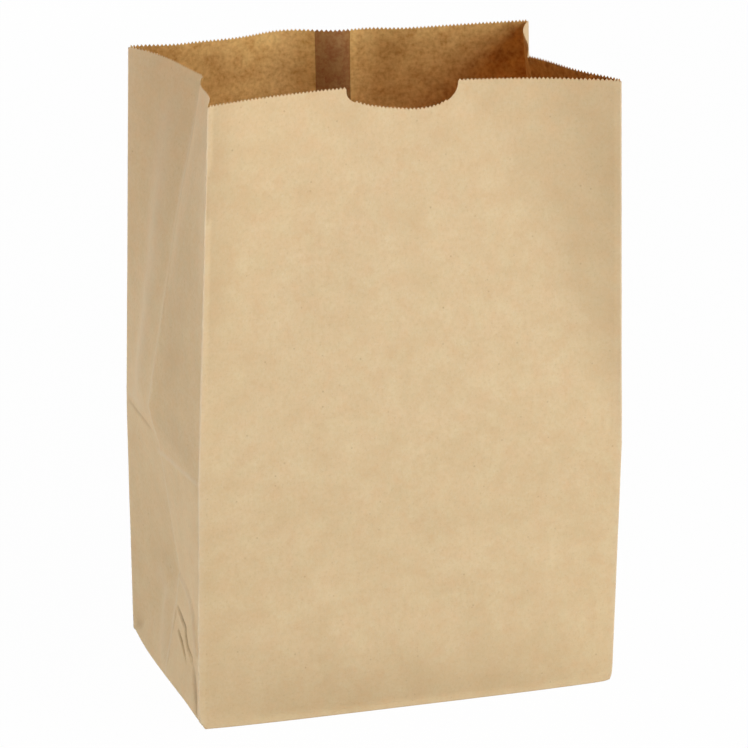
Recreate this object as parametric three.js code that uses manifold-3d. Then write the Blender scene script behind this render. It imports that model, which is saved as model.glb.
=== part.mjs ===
// A paper grocery bag, folded from one sheet of kraft paper and standing open.
// It has a flat pasted base, a gusset folded into each side, a lapped seam down the
// back, a pinked mouth and a thumb notch in the front panel.
// Millimetres, +Z up. The front panel faces -Y, and the origin is the middle of the
// underside of the base.

import * as THREE from 'three';
import { mergeVertices } from 'three/addons/utils/BufferGeometryUtils.js';
import Module from 'manifold-3d';

// The bag as folded
const width = 300;
const depth = 180;
const height = 432;
const paper = 0.18;

// The lapped seam, down the back panel
const seamLap = 25;
const seamOffset = 0;

// The two long flaps of the base lap each other by this much
const flapLap = 36;

// The pinked cut all round the mouth
const pinkPitch = 3.125;
const pinkDepth = 0.75;

// The thumb notch in the front panel
const notchWidth = 82;
const notchDepth = 17.5;
const notchCorner = 16;
const notchSag = 1;
const notchOffset = -2;

// How the opened mouth stands: bows and folds at the top edge
const frontBow = 29;
const frontBowOffset = 20;
const backBillows = [
  { at: -33, out: 18, reach: 32 },
  { at: 29, out: 7, reach: 18 },
  { at: -122, out: -6, reach: 18 },
];
const leftGusset = { foldIn: 23.5, creaseShift: -8, frontBelly: -1, backBelly: 5 };
const rightGusset = { foldIn: 38, creaseShift: -10, frontBelly: -2, backBelly: 2 };
const mouthCurve = 1.7;

// How far each corner of the mouth is drawn in from the corner of the base
const mouthCorners = {
  frontLeft: { x: 9, y: 9 },
  frontRight: { x: 7.5, y: 1.5 },
  backRight: { x: 7, y: -1 },
  backLeft: { x: 3.5, y: -2 },
};

// The side panels stand out at the hinge crease, and in where the centre crease forks
const hingeBulge = 5;
const forkDent = 10;

// Facets
const panelCells = 16;
const seamSideCells = 7;
const gussetCells = 4;
const rowsToHinge = 2;
const rowsToMouth = 6;
const mouthBand = 6;
const notchArcSteps = 6;

// Sizes that follow from the fold
const midWidth = width - paper;
const midDepth = depth - paper;
const forkHeight = midDepth / 2;
const hingeHeight = depth;
const flapLength = (depth + flapLap) / 2;
const baseLayers = 4;
const floorHeight = baseLayers * paper;
const cutRoom = 2;

// Rises from 0 at the hinge crease to 1 at the mouth, evenly or ever more steeply
function evenRise(z) {
  return Math.max(0, (z - hingeHeight) / (height - hingeHeight));
}

function mouthRise(z) {
  return evenRise(z) ** mouthCurve;
}

function blend(a, b, share) {
  return a.map((value, axis) => value + (b[axis] - value) * share);
}

// Where a vertical fold stands at height z
function cornerAt(name, sideX, sideY, z) {
  const drawn = mouthCorners[name];
  const rise = evenRise(z);
  return [sideX * (midWidth / 2 - drawn.x * rise), sideY * (midDepth / 2 - drawn.y * rise)];
}

const frontLeft = (z) => cornerAt('frontLeft', -1, -1, z);
const frontRight = (z) => cornerAt('frontRight', 1, -1, z);
const backRight = (z) => cornerAt('backRight', 1, 1, z);
const backLeft = (z) => cornerAt('backLeft', -1, 1, z);

// The front panel, from left to right: two half parabolas that meet at the deepest point
function frontPanel(share, z) {
  const [x, y] = blend(frontLeft(z), frontRight(z), share);
  const peak = 0.5 + frontBowOffset / width;
  const half = share < peak ? peak : 1 - peak;
  const arch = 1 - ((share - peak) / half) ** 2;
  return [x, y + frontBow * arch * mouthRise(z)];
}

// The back panel, from right to left, with bell-shaped billows
function backPanel(share, z) {
  const [x, y] = blend(backRight(z), backLeft(z), share);
  const along = width * (0.5 - share);
  const ends = Math.min(1, 8 * share * (1 - share));
  let out = 0;
  for (const billow of backBillows) {
    out += billow.out * Math.exp(-(((along - billow.at) / billow.reach) ** 2));
  }
  return [x, y + out * ends * mouthRise(z)];
}

// How far the centre crease of a gusset is pushed in at height z
function creaseDepth(gusset, z) {
  if (z < hingeHeight) {
    const share = (z - forkHeight) / (hingeHeight - forkHeight);
    return forkDent - (forkDent + hingeBulge) * share;
  }
  return (gusset.foldIn + hingeBulge) * mouthRise(z) - hingeBulge;
}

// Half a gusset, from a vertical fold (share 0) to the centre crease (share 1).
// Below the fork, the base's folded triangle leans in as a flat face.
function halfGusset(gusset, sideX, nearFold, farFold, belly, share, z) {
  const near = nearFold(z);
  const middle = blend(near, farFold(z), 0.5);
  middle[1] += gusset.creaseShift * mouthRise(z);
  const [x, y] = blend(near, middle, share);
  const fromFold = share * forkHeight;
  const level = z < forkHeight ? forkDent * Math.min(fromFold, z) / forkHeight
    : creaseDepth(gusset, z) * share;
  const bulge = belly * Math.sin(Math.PI * share) * mouthRise(z);
  return [x - sideX * (level + bulge), y];
}

const rightFrontHalf = (share, z) =>
  halfGusset(rightGusset, 1, frontRight, backRight, rightGusset.frontBelly, share, z);
const rightBackHalf = (share, z) =>
  halfGusset(rightGusset, 1, backRight, frontRight, rightGusset.backBelly, 1 - share, z);
const leftBackHalf = (share, z) =>
  halfGusset(leftGusset, -1, backLeft, frontLeft, leftGusset.backBelly, share, z);
const leftFrontHalf = (share, z) =>
  halfGusset(leftGusset, -1, frontLeft, backLeft, leftGusset.frontBelly, 1 - share, z);

function evenStops(from, to, count) {
  return Array.from({ length: count + 1 }, (_, i) => from + (to - from) * i / count);
}

// The back panel's stops crowd at the seam, where one layer ends on each face
function backStops() {
  const start = 0.5 - (seamOffset + seamLap / 2) / width;
  const end = start + seamLap / width;
  const step = paper / width;
  return [
    ...evenStops(0, start, seamSideCells),
    ...evenStops(start + step, end - step, 1),
    ...evenStops(end, 1, seamSideCells),
  ];
}

// The girth as cells, each a strip of one panel between two stops. A cell in a gusset
// half says which way the base's diagonal crease crosses it.
function girthCells() {
  const halfStops = evenStops(0, 1, gussetCells);
  const panels = [
    { place: frontPanel, length: width, stops: evenStops(0, 1, panelCells), falling: false },
    { place: rightFrontHalf, length: depth / 2, stops: halfStops, falling: false },
    { place: rightBackHalf, length: depth / 2, stops: halfStops, falling: true },
    { place: backPanel, length: width, stops: backStops(), falling: false },
    { place: leftBackHalf, length: depth / 2, stops: halfStops, falling: false },
    { place: leftFrontHalf, length: depth / 2, stops: halfStops, falling: true },
  ];
  const cells = [];
  for (const { place, length, stops, falling } of panels) {
    for (let i = 0; i + 1 < stops.length; i += 1) {
      const teeth = Math.round(length * (stops[i + 1] - stops[i]) / pinkPitch);
      cells.push({ place, from: stops[i], to: stops[i + 1], teeth, falling });
    }
  }
  return cells;
}

const cells = girthCells();

// How far the outer and the inner face lie from the middle of the sheet at each column.
// At the seam the inner layer starts on the inside and the outer layer ends on the outside.
function faceOffsets() {
  const outer = cells.map(() => paper / 2);
  const inner = cells.map(() => -paper / 2);
  const seamStart = panelCells + 2 * gussetCells + seamSideCells;
  const seamEnd = seamStart + 3;
  for (let i = seamStart + 1; i <= seamEnd; i += 1) {
    inner[i] = -1.5 * paper;
  }
  outer[seamEnd] = -paper / 2;
  return { outer, inner };
}

const offsets = faceOffsets();

// The outward unit normal, in plan, of a cell's panel
function outward(cell, share, z) {
  const reach = 0.001;
  const a = cell.place(Math.max(0, share - reach), z);
  const b = cell.place(Math.min(1, share + reach), z);
  const run = [b[0] - a[0], b[1] - a[1]];
  const size = Math.hypot(...run);
  return [run[1] / size, -run[0] / size];
}

function pointInCell(index, share, z, offset) {
  const cell = cells[index];
  const [x, y] = cell.place(share, z);
  const normal = outward(cell, share, z);
  return [x + normal[0] * offset, y + normal[1] * offset, z];
}

// The start of a cell, mitred with the end of the cell before it
function pointAtColumn(index, z, offset) {
  const cell = cells[index];
  const before = cells[(index + cells.length - 1) % cells.length];
  const [x, y] = cell.place(cell.from, z);
  const a = outward(before, before.to, z);
  const b = outward(cell, cell.from, z);
  const reach = offset / (1 + a[0] * b[0] + a[1] * b[1]);
  return [x + (a[0] + b[0]) * reach, y + (a[1] + b[1]) * reach, z];
}

// The points of the pinked edge over one cell: a valley at each end, tips between
function pinkedEdge(index, face) {
  const next = (index + 1) % cells.length;
  const { from, to, teeth } = cells[index];
  const edge = [pointAtColumn(index, height - pinkDepth, face[index])];
  const marks = Math.max(0, 2 * teeth - 1);
  for (let i = 1; i <= marks; i += 1) {
    const share = i / (2 * teeth);
    const z = i % 2 ? height : height - pinkDepth;
    const offset = face[index] + (face[next] - face[index]) * share;
    edge.push(pointInCell(index, from + (to - from) * share, z, offset));
  }
  edge.push(pointAtColumn(next, height - pinkDepth, face[next]));
  return edge;
}

const triangles = [];

function addTriangle(a, b, c, flipped) {
  triangles.push(...a, ...(flipped ? c : b), ...(flipped ? b : c));
}

// One face of the wall and the floor that closes it
function addFace(face, rows, flipped) {
  const middle = [0, 0, rows[0]];
  cells.forEach((cell, index) => {
    const next = (index + 1) % cells.length;
    const left = rows.map((z) => pointAtColumn(index, z, face[index]));
    const right = rows.map((z) => pointAtColumn(next, z, face[next]));
    for (let i = 0; i + 1 < rows.length; i += 1) {
      if (cell.falling) {
        addTriangle(left[i], right[i], left[i + 1], flipped);
        addTriangle(right[i], right[i + 1], left[i + 1], flipped);
      } else {
        addTriangle(left[i], right[i], right[i + 1], flipped);
        addTriangle(left[i], right[i + 1], left[i + 1], flipped);
      }
    }
    const edge = pinkedEdge(index, face);
    const centre = Math.floor(edge.length / 2);
    const low = left.at(-1);
    const far = right.at(-1);
    addTriangle(low, far, edge[centre], flipped);
    for (let i = 0; i + 1 < edge.length; i += 1) {
      addTriangle(i < centre ? low : far, edge[i + 1], edge[i], flipped);
    }
    addTriangle(middle, right[0], left[0], flipped);
  });
}

// The cut edge of the paper round the mouth
function addRim() {
  cells.forEach((cell, index) => {
    const outside = pinkedEdge(index, offsets.outer);
    const inside = pinkedEdge(index, offsets.inner);
    for (let i = 0; i + 1 < outside.length; i += 1) {
      addTriangle(outside[i], outside[i + 1], inside[i + 1], false);
      addTriangle(outside[i], inside[i + 1], inside[i], false);
    }
  });
}

const rowsAboveBase = [
  ...evenStops(0, forkHeight, gussetCells).slice(1),
  ...evenStops(forkHeight, hingeHeight, rowsToHinge).slice(1),
  ...evenStops(hingeHeight, height - mouthBand, rowsToMouth).slice(1),
];
addFace(offsets.outer, [0, ...rowsAboveBase], false);
addFace(offsets.inner, [floorHeight, ...rowsAboveBase], true);
addRim();

const wasm = await Module();
wasm.setup();

function solidOf(geometry) {
  geometry.deleteAttribute('normal');
  geometry.deleteAttribute('uv');
  const merged = mergeVertices(geometry, paper / 1000);
  return new wasm.Manifold(new wasm.Mesh({
    numProp: 3,
    vertProperties: new Float32Array(merged.attributes.position.array),
    triVerts: new Uint32Array(merged.index.array),
  }));
}

function shapeOf(points) {
  return new THREE.Shape(points.map(([x, y]) => new THREE.Vector2(x, y)));
}

// An upright prism over a plan outline, between two heights
function prism(points, low, high) {
  const geometry = new THREE.ExtrudeGeometry(shapeOf(points), { depth: high - low, bevelEnabled: false });
  return solidOf(geometry.translate(0, 0, low));
}

function plate(x0, y0, x1, y1, low, high) {
  return prism([[x0, y0], [x1, y0], [x1, y1], [x0, y1]], low, high);
}

// The underside shows the back flap lowest, the front flap one layer up, and at each end
// the triangle of a side flap, above the long flaps and their folded corners
function undersideCuts() {
  const outX = width / 2 + cutRoom;
  const outY = depth / 2 + cutRoom;
  const apex = (width - depth) / 2;
  const frontStrip = plate(-outX, -outY, outX, -flapLap / 2, -cutRoom, paper);
  const ends = [-1, 1].map((side) => {
    const outline = [[side * apex, 0], [side * outX, side * outY], [side * outX, -side * outY]];
    return prism(outline.reverse(), -cutRoom, (baseLayers - 1) * paper);
  });
  return [frontStrip, ...ends];
}

// Inside, the side flaps end short of the middle, and the long flaps show between them
function floorCuts() {
  const endX = width / 2 - flapLength;
  const endY = depth / 2 - 2 * paper;
  const high = floorHeight + cutRoom;
  const freeEdge = flapLap / 2;
  return [
    plate(-endX, -endY, endX, freeEdge, 2 * paper, high),
    plate(-endX, freeEdge, endX, endY, paper, high),
  ];
}

// The thumb notch: elliptical corners and a shallow pinked bottom, cut through the front
function notchCut() {
  const halfWidth = notchWidth / 2;
  const drop = notchDepth - notchSag;
  const flat = halfWidth - notchCorner;
  const angles = evenStops(0, Math.PI / 2, notchArcSteps);
  const corner = angles.map((a) => [halfWidth - notchCorner * (1 - Math.cos(a)), -drop * Math.sin(a)]);
  const teeth = Math.round(2 * flat / pinkPitch);
  const bottom = [];
  for (let i = 1; i < 2 * teeth; i += 1) {
    const x = flat - flat * i / teeth;
    const sag = notchSag * (1 - (x / flat) ** 2);
    bottom.push([x, -drop - sag + (i % 2 ? 0 : pinkDepth)]);
  }
  const left = corner.map(([x, z]) => [-x, z]).reverse();
  const above = [[-halfWidth, cutRoom], [halfWidth, cutRoom]];
  const outline = [...corner, ...bottom, ...left, ...above];
  const reach = depth / 2 + cutRoom;
  const geometry = new THREE.ExtrudeGeometry(shapeOf(outline.reverse()), { depth: reach, bevelEnabled: false });
  geometry.rotateX(Math.PI / 2);
  return solidOf(geometry.translate(notchOffset, 0, height));
}

const shell = new THREE.BufferGeometry();
shell.setAttribute('position', new THREE.Float32BufferAttribute(triangles, 3));
let bag = solidOf(shell);
for (const cut of [...undersideCuts(), ...floorCuts(), notchCut()]) {
  bag = bag.subtract(cut);
}

const { vertProperties, triVerts } = bag.getMesh();
const geometry = new THREE.BufferGeometry();
geometry.setAttribute('position', new THREE.BufferAttribute(vertProperties, 3));
geometry.setIndex(new THREE.BufferAttribute(triVerts, 1));
geometry.computeVertexNormals();

const kraft = new THREE.MeshStandardMaterial({ color: 0xd2b486, roughness: 0.85, metalness: 0 });
const paperBag = new THREE.Mesh(geometry, kraft);
paperBag.name = 'paper_bag';

const group = new THREE.Group();
group.add(paperBag);

export default group;
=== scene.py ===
"""A paper grocery bag standing open: one folded sheet of kraft paper on a pale floor."""

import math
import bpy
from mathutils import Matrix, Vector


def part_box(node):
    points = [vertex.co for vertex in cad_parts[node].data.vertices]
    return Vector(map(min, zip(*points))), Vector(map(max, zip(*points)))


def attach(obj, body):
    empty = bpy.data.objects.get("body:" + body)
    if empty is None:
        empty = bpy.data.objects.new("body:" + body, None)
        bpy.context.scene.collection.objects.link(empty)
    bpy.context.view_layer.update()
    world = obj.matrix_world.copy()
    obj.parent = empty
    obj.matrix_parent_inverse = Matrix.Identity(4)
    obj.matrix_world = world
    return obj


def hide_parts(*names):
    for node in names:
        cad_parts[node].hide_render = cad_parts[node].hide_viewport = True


bl_info = {
    "name": "Paper Grocery Bag",
    "version": (1, 0, 0),
    "blender": (4, 5, 0),
    "location": "View3D > Sidebar > Bag",
    "description": "Folds a kraft paper grocery bag round its frame and sets a studio for it",
    "category": "Add Mesh",
}

import bpy
import numpy as np
from bpy.props import FloatProperty, FloatVectorProperty, PointerProperty
from mathutils import Matrix, Vector

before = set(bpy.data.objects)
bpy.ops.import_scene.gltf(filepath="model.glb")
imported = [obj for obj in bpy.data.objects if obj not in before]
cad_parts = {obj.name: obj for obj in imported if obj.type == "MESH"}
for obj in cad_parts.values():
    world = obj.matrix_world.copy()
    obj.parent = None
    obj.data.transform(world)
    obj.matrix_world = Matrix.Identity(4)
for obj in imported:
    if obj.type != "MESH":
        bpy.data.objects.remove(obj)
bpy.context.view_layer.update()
NODE = "paper_bag"
BASE_SIZE = (0.300, 0.180)
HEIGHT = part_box(NODE)[1].z

# Rows of the wall, as (up to this height, number of rows), above its foot
WALL_FOOT = 0.0048
WALL_ROWS = ((0.020, 5), (0.090, 24), (0.164, 15), (0.190, 17), (0.405, 18))
WRINKLED_ROWS = ((0.024, 11), (0.072, 66), (0.092, 15), (0.164, 20), (0.190, 20), (0.405, 18))
MOUTH_ROWS = 7

# Columns beside a fold and at both ends of the notch, and the digits that tell two columns apart
FOLD_STOPS = (0.0006, 0.0014)
NOTCH_LEFT_STOPS = (0.0, 0.00015, 0.0005, 0.0012, 0.0024, 0.0042, 0.0065)
NOTCH_RIGHT_STOPS = (0.0, 0.0001, 0.0004, 0.0010, 0.0020, 0.0036, 0.0058, 0.0085)
STOP_DIGITS = 9

# Columns to a tooth in the wrinkled strip, and rows of a base flap and of its fold
WRINKLE_PARTS = 4
FLAP_ROWS = 6
FOLD_ARC_ROWS = 5

# Edges sharper than this are shaded sharp, as cut paper is
CUT_ANGLE = math.radians(65.0)

# Each cell of the mouth carries two teeth: places of their tips and of the valley between, and heights
TEETH_PER_CELL = 2
TOOTH_PLACES = (0.25, 0.5, 0.75)
TOOTH_HEIGHTS = (1.0, 0.06, 1.0)

# A cell narrower than this share of a whole one carries no teeth
TOOTHED_SHARE = 0.7

# Strips of the wall by their number round the girth, which starts at the front
BACK_STRIP = 3
WRINKLED_STRIP = 5

# Plain strips of each side: the first of them, and the strip after the last
SIDE_STRIPS = {"front": (0, 1), "right": (1, 3), "back": (3, 4), "left": (4, 5)}

# The soft boxes: azimuth and elevation in degrees, distance, width and height, and the point they face
LAMPS = {
    "key": (46.0, 30.0, 3.0, 2.7, 1.7),
    "front": (12.0, 3.0, 3.0, 1.7, 0.60),
    "left": (-88.0, -4.0, 1.3, 0.9, 0.20),
    "right": (95.0, 3.0, 3.0, 1.7, 0.60),
    "back": (180.0, 3.0, 3.0, 1.7, 0.60),
}
LAMP_AIM = (0.0, 0.0, 0.2)

# The floor: how far below the base it lies, and the rings and sides of its disc
FLOOR_DROP = 0.0001
FLOOR_RADII = (0.6, 2.0, 8.0, 40.0)
FLOOR_SIDES = 96

# The floor's white to the camera: its strength, and its share beside the lit floor
FLOOR_WHITE = 1.03
FLOOR_WHITENESS = 0.955

# The camera's sensor in millimetres, and how far it sees in metres
SENSOR_WIDTH = 36.0
CAMERA_REACH = 100.0


def size_property(name, description, default):
    """A length in metres that a user may change."""
    return FloatProperty(name=name, description=description, default=default, precision=5, unit="LENGTH")


def number_property(name, description, default):
    """A plain number that a user may change."""
    return FloatProperty(name=name, description=description, default=default)


def angle_property(name, description, degrees):
    """An angle that a user may change, from its degrees."""
    return FloatProperty(name=name, description=description, default=math.radians(degrees), subtype="ANGLE")


def colour_property(name, description, default):
    """A colour that a user may change."""
    return FloatVectorProperty(name=name, description=description, default=default, subtype="COLOR")


class BagSizes(bpy.types.PropertyGroup):
    """The sheet and the cuts in it."""

    width: size_property("Width", "Width of the front panel", BASE_SIZE[0])
    depth: size_property("Depth", "Depth of the side panels", BASE_SIZE[1])
    height: size_property("Height", "From the floor to the mouth", HEIGHT)
    paper: size_property("Paper", "Thickness of one layer", 0.00018)
    fold_radius: size_property("Fold radius", "Bend of the base edges", 0.0011)
    seam_lap: size_property("Seam lap", "Width of the pasted seam", 0.025)
    seam_offset: size_property("Seam offset", "From the back panel's middle", 0.0032)
    flap_lap: size_property("Flap lap", "Lap of the long base flaps", 0.036)
    pink_pitch: size_property("Pinking pitch", "Width of one tooth", 0.00278)
    pink_depth: size_property("Pinking depth", "Depth of one tooth", 0.0017)
    notch_width: size_property("Notch width", "Width of the thumb notch", 0.083)
    notch_depth: size_property("Notch depth", "Depth of the thumb notch", 0.0174)
    notch_deepest: size_property("Notch deepest", "Its deepest point from its left end", 0.050)
    notch_offset: size_property("Notch offset", "From the panel's middle", -0.002)


class BagStance(bpy.types.PropertyGroup):
    """How the opened bag stands: its bows, folds and dents."""

    front_bow: size_property("Front bow", "Front panel in at the mouth", 0.029)
    front_bow_offset: size_property("Bow offset", "Deepest point from the middle", 0.020)
    front_curve: number_property("Front curve", "How late the front bow sets in", 1.2)
    base_bow: size_property("Base bow", "Long base edges out in the middle", 0.0006)
    front_swell: size_property("Front swell", "Wide panels out above the base", 0.0070)
    swell_height: size_property("Swell height", "Where they swell most", 0.040)
    hinge: size_property("Hinge", "Height of the hinge crease", 0.174)
    hinge_bulge: size_property("Hinge bulge", "Side panels out at the knuckle", 0.0101)
    knuckle_rise: size_property("Knuckle rise", "The knuckle above the hinge crease", 0.026)
    hinge_slant: size_property("Hinge slant", "Back end of the hinge below its knuckle", 0.010)
    fork: size_property("Fork", "Height where a centre crease forks", 0.080)
    fork_dent: size_property("Fork dent", "Side panels in at the fork", 0.012)
    left_fold_in: size_property("Left fold", "Left gusset in at the mouth", 0.0235)
    right_fold_in: size_property("Right fold", "Right gusset in at the mouth", 0.038)
    mouth_curve: number_property("Mouth curve", "How late the mouth's shape sets in", 1.7)
    ripple: size_property("Ripple", "Soft unevenness of the panels", 0.0006)


class KraftLook(bpy.types.PropertyGroup):
    """Colours of the paper."""

    kraft: colour_property("Kraft", "The paper's own brown", (0.785, 0.632, 0.366))
    warm: colour_property("Warm cloud", "Thicker, redder clouds", (0.788, 0.622, 0.362))
    deep: colour_property("Deep cloud", "Darker mottling", (0.690, 0.527, 0.280))
    # Pale colour of rubbed folds, and of the painted highlight and sheen on folds and ridges
    worn_and_painted_light: colour_property("Worn fold", "Broken fibres on a fold", (0.82, 0.73, 0.54))
    # Dark colour of crushing in wrinkle valleys, and of painted shade there and in shade bands
    crushed_and_painted_shade: colour_property("Crushed wrinkle", "Valley of a sharp wrinkle", (0.32, 0.205, 0.10))
    inner: colour_property("Inner face", "Tint of the rough inner face", (1.02, 1.03, 0.67))
    inner_deep: colour_property("Inner mottling", "Tint of its darker flocks", (0.76, 0.52, 0.21))
    # Tint under the seam: partly paste, partly painted shade of the seam's two layers on the inner face
    pasted: colour_property("Pasted seam", "Tint of the paste under the seam", (0.52, 0.34, 0.24))
    speck: colour_property("Speck", "Bark specks in the pulp", (0.30, 0.18, 0.08))
    glow: colour_property("Glow", "Light through one layer", (0.94, 0.55, 0.23))
    amber: colour_property("Amber", "Light through the seam's layers", (0.90, 0.33, 0.06))


class StudioSizes(bpy.types.PropertyGroup):
    """The camera and the lamps."""

    azimuth: angle_property("Azimuth", "Camera round the bag", -18.10)
    elevation: angle_property("Elevation", "Camera above the floor", 18.31)
    roll: angle_property("Roll", "Camera about its own line", 0.62)
    distance: size_property("Distance", "Camera from its aim", 2.80)
    lens: number_property("Lens", "Focal length in millimetres", 194.8)
    aim: FloatVectorProperty(
        name="Aim", description="Where the camera looks", default=(0.0012, 0.0, 0.2103), subtype="XYZ")
    sky: number_property("Sky", "Strength of the light all round", 0.01)
    key_level: number_property("Key lamp", "Light of the high lamp on the right", 0.58)
    front_level: number_property("Front lamp", "Light of the low lamp in front", 0.55)
    left_level: number_property("Left lamp", "Light of the low lamp on the left", 0.555)
    right_level: number_property("Right lamp", "Light of the low lamp on the right", 0.15)
    back_level: number_property("Back lamp", "Light of the low lamp behind", 0.30)
    floor_colour: colour_property("Floor", "Colour of the floor", (0.36, 0.36, 0.355))


# Each vertical fold: which way it lies from the middle, and how far in it is at its foot, hinge and mouth
FOLDS = {
    "front_left": ((-1, -1), ((-0.0017, -0.0038), (0.0001, 0.0), (0.0095, 0.009))),
    "front_right": ((1, -1), ((0.0012, -0.0014), (-0.0013, 0.0), (0.0063, 0.0015))),
    "back_right": ((1, 1), ((0.0010, 0.0), (-0.0013, 0.0), (0.007, -0.001))),
    "back_left": ((-1, 1), ((0.0010, 0.0), (-0.0024, 0.0), (0.0014, -0.002))),
}

# Billows of the back panel at the mouth: place along X, how far out, reach
BACK_BILLOWS = ((-0.030, 0.0165, 0.031), (0.029, 0.007, 0.018), (-0.122, -0.006, 0.018))

# Each gusset half at the mouth: (belly, sway), the one-lobed and two-lobed curve inwards
HALF_CURVES = {
    "left_front": (-0.0006, 0.0024),
    "left_back": (0.005, 0.001),
    "right_front": (0.0015, 0.0),
    "right_back": (0.0026, 0.002),
}

# How far each gusset's centre crease shifts along Y at the mouth
CREASE_SHIFT = {"left": -0.008, "right": -0.010}

# A centre crease above its knuckle bends at a share of its height and of its depth
CREASE_BEND = (0.573, 0.524)

# Bulge at the hinge as a share of the knuckle's, on the centre crease and in the flatter front half
HINGE_SHARE = 0.15
FLAT_SHARE = 0.25

# How closely the knuckle keeps to its crease, as a power, and how far the back hinge's slant reaches
KNUCKLE_POWER = 3
SLANT_REACH = 0.030

# Powers: how flat the swell is across a panel, and how early the left front triangle's edge rises
SWELL_POWER = 4
TRIANGLE_POWER = 7

# Narrowest cone of the front bow, as a share of its half panel
CONE_LEAST = 0.04

# How soon the back panel's billows set in beside its folds
BILLOW_ENDS = 8.0

# Superellipse powers of the notch's steep left end and of its round right end
NOTCH_LEFT_POWERS = (1.1, 0.32)
NOTCH_RIGHT_POWERS = (2.5, 0.5)

# Soft ripples: how many waves, the shortest and longest, where they are full, and the first strip's seed
RIPPLE_WAVES = 7
RIPPLE_LENGTHS = (0.045, 0.13)
RIPPLE_FOOT = 0.05
RIPPLE_SEED = 11

# Creases of the side panels, and bands of painted shade and highlight: points of (along Y, height), height
# outwards, reach, and a mark: above 0 rubbing and painted highlight, below 0 crushing and painted shade
SIDE_HINGES = (
    # The hinge crease lines: ridges paler by rubbing and a painted highlight, a valley darker by crushing and
    # painted shade
    (((0.004, 0.1683), (-0.045, 0.1726), (-0.089, 0.1755)), 0.0008, 0.0016, 0.75),
    (((0.089, 0.1790), (0.043, 0.1803), (0.006, 0.1803)), -0.0007, 0.0013, -0.45),
    (((0.089, 0.1850), (0.043, 0.1900), (0.004, 0.1960)), 0.0007, 0.0030, 0.40),
)
LEFT_CREASES_AND_PAINTED_LIGHT = SIDE_HINGES + (
    # Sharp wrinkles, dark by crushing and painted shade in their valleys, each beside a raised lip
    (((-0.009, 0.0586), (-0.029, 0.0566), (-0.0455, 0.0557), (-0.0487, 0.0518), (-0.058, 0.0461),
      (-0.0704, 0.0437), (-0.0765, 0.0345)), -0.0012, 0.0007, -1.0),
    (((-0.010, 0.0562), (-0.044, 0.0528), (-0.056, 0.0440), (-0.068, 0.0405)), 0.0010, 0.0018, 0.0),
    (((-0.0215, 0.0466), (-0.0386, 0.0427), (-0.0535, 0.0360)), -0.0010, 0.0007, -1.0),
    (((-0.023, 0.0440), (-0.0390, 0.0402), (-0.0525, 0.0335)), 0.0008, 0.0017, 0.0),
    (((-0.0735, 0.0400), (-0.0809, 0.0245), (-0.0877, 0.0020)), -0.0016, 0.0038, -0.70),
    # The fork ridge, paler by rubbing and a painted highlight
    (((-0.006, 0.0782), (-0.037, 0.0801), (-0.063, 0.0777), (-0.0735, 0.0739), (-0.0865, 0.0523)),
     0.0020, 0.0022, 0.55),
    # A shallow dent down the centre crease, darkened with painted shade
    (((0.004, 0.0700), (-0.0055, 0.0518), (-0.003, 0.0274), (-0.006, 0.0060)), -0.0011, 0.0026, -0.16),
    (((0.022, 0.0576), (0.009, 0.0183)), 0.0016, 0.0080, 0.0),
    (((0.0860, 0.0100), (0.052, 0.0264), (0.014, 0.0690)), -0.0012, 0.0070, 0.0),
    # A dent by the back corner, darkened by crushing and painted shade
    (((0.0900, 0.0040), (0.0860, 0.0080), (0.0700, 0.0140)), -0.0006, 0.0050, -0.36),
    # A band of painted highlight with no relief
    (((0.034, 0.066), (0.016, 0.036), (0.004, 0.012)), 0.0, 0.0075, 0.38),
    # A band of painted shade with no relief
    (((0.032, 0.088), (0.004, 0.064)), 0.0, 0.0100, -0.13),
    # A broad ridge with a streak of painted sheen
    (((0.040, 0.390), (0.040, 0.3634), (0.034, 0.2915), (0.038, 0.2081)), 0.0022, 0.0130, 0.40),
    # The centre crease, paler by rubbing and a painted highlight
    (((-0.002, 0.425), (0.0, 0.360), (-0.001, 0.300), (0.0, 0.205)), 0.0006, 0.0016, 0.40),
    # Bands of painted shade with no relief on the front half above the hinge
    (((0.004, 0.192), (-0.040, 0.194), (-0.090, 0.192)), 0.0, 0.0140, -0.19),
    (((-0.030, 0.330), (-0.030, 0.240), (-0.040, 0.190)), 0.0, 0.0260, -0.10),
)
RIGHT_CREASES = SIDE_HINGES + (
    # Diagonal crease lines, paler by rubbing and a painted highlight
    (((-0.080, 0.010), (-0.045, 0.042), (-0.006, 0.078)), 0.0006, 0.0018, 0.3),
    (((0.080, 0.010), (0.045, 0.042), (0.006, 0.078)), 0.0006, 0.0018, 0.3),
    (((0.010, 0.395), (0.020, 0.330), (0.034, 0.230)), 0.0018, 0.0130, 0.0),
)

# Creases of the wide panels in the same way, along X: those of no height are bands of painted shade
FRONT_PAINTED_SHADE = (
    # Painted shade along the upper left margin
    (((-0.150, 0.540), (-0.146, 0.400), (-0.150, 0.220)), 0.0, 0.0230, -0.21),
    # Painted shade along the foot
    (((-0.190, 0.026), (-0.050, 0.024), (0.120, 0.016)), 0.0, 0.0320, -0.13),
    # Painted shade at the upper right
    (((0.160, 0.480), (0.132, 0.350), (0.140, 0.220)), 0.0, 0.0400, -0.09),
)
BACK_CREASES_AND_PAINTED_LIGHT = (
    # The crease lines at the hinge and the fork: paler by rubbing and a painted highlight, darker by crushing
    # and painted shade
    (((-0.150, 0.174), (0.150, 0.174)), 0.0005, 0.0016, 0.4),
    (((-0.150, 0.087), (0.150, 0.087)), -0.0002, 0.0014, 0.15),
    # Painted shade over the main billow's top
    (((-0.060, 0.500), (-0.036, 0.410), (-0.034, 0.310)), 0.0, 0.0260, -0.13),
)

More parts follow.
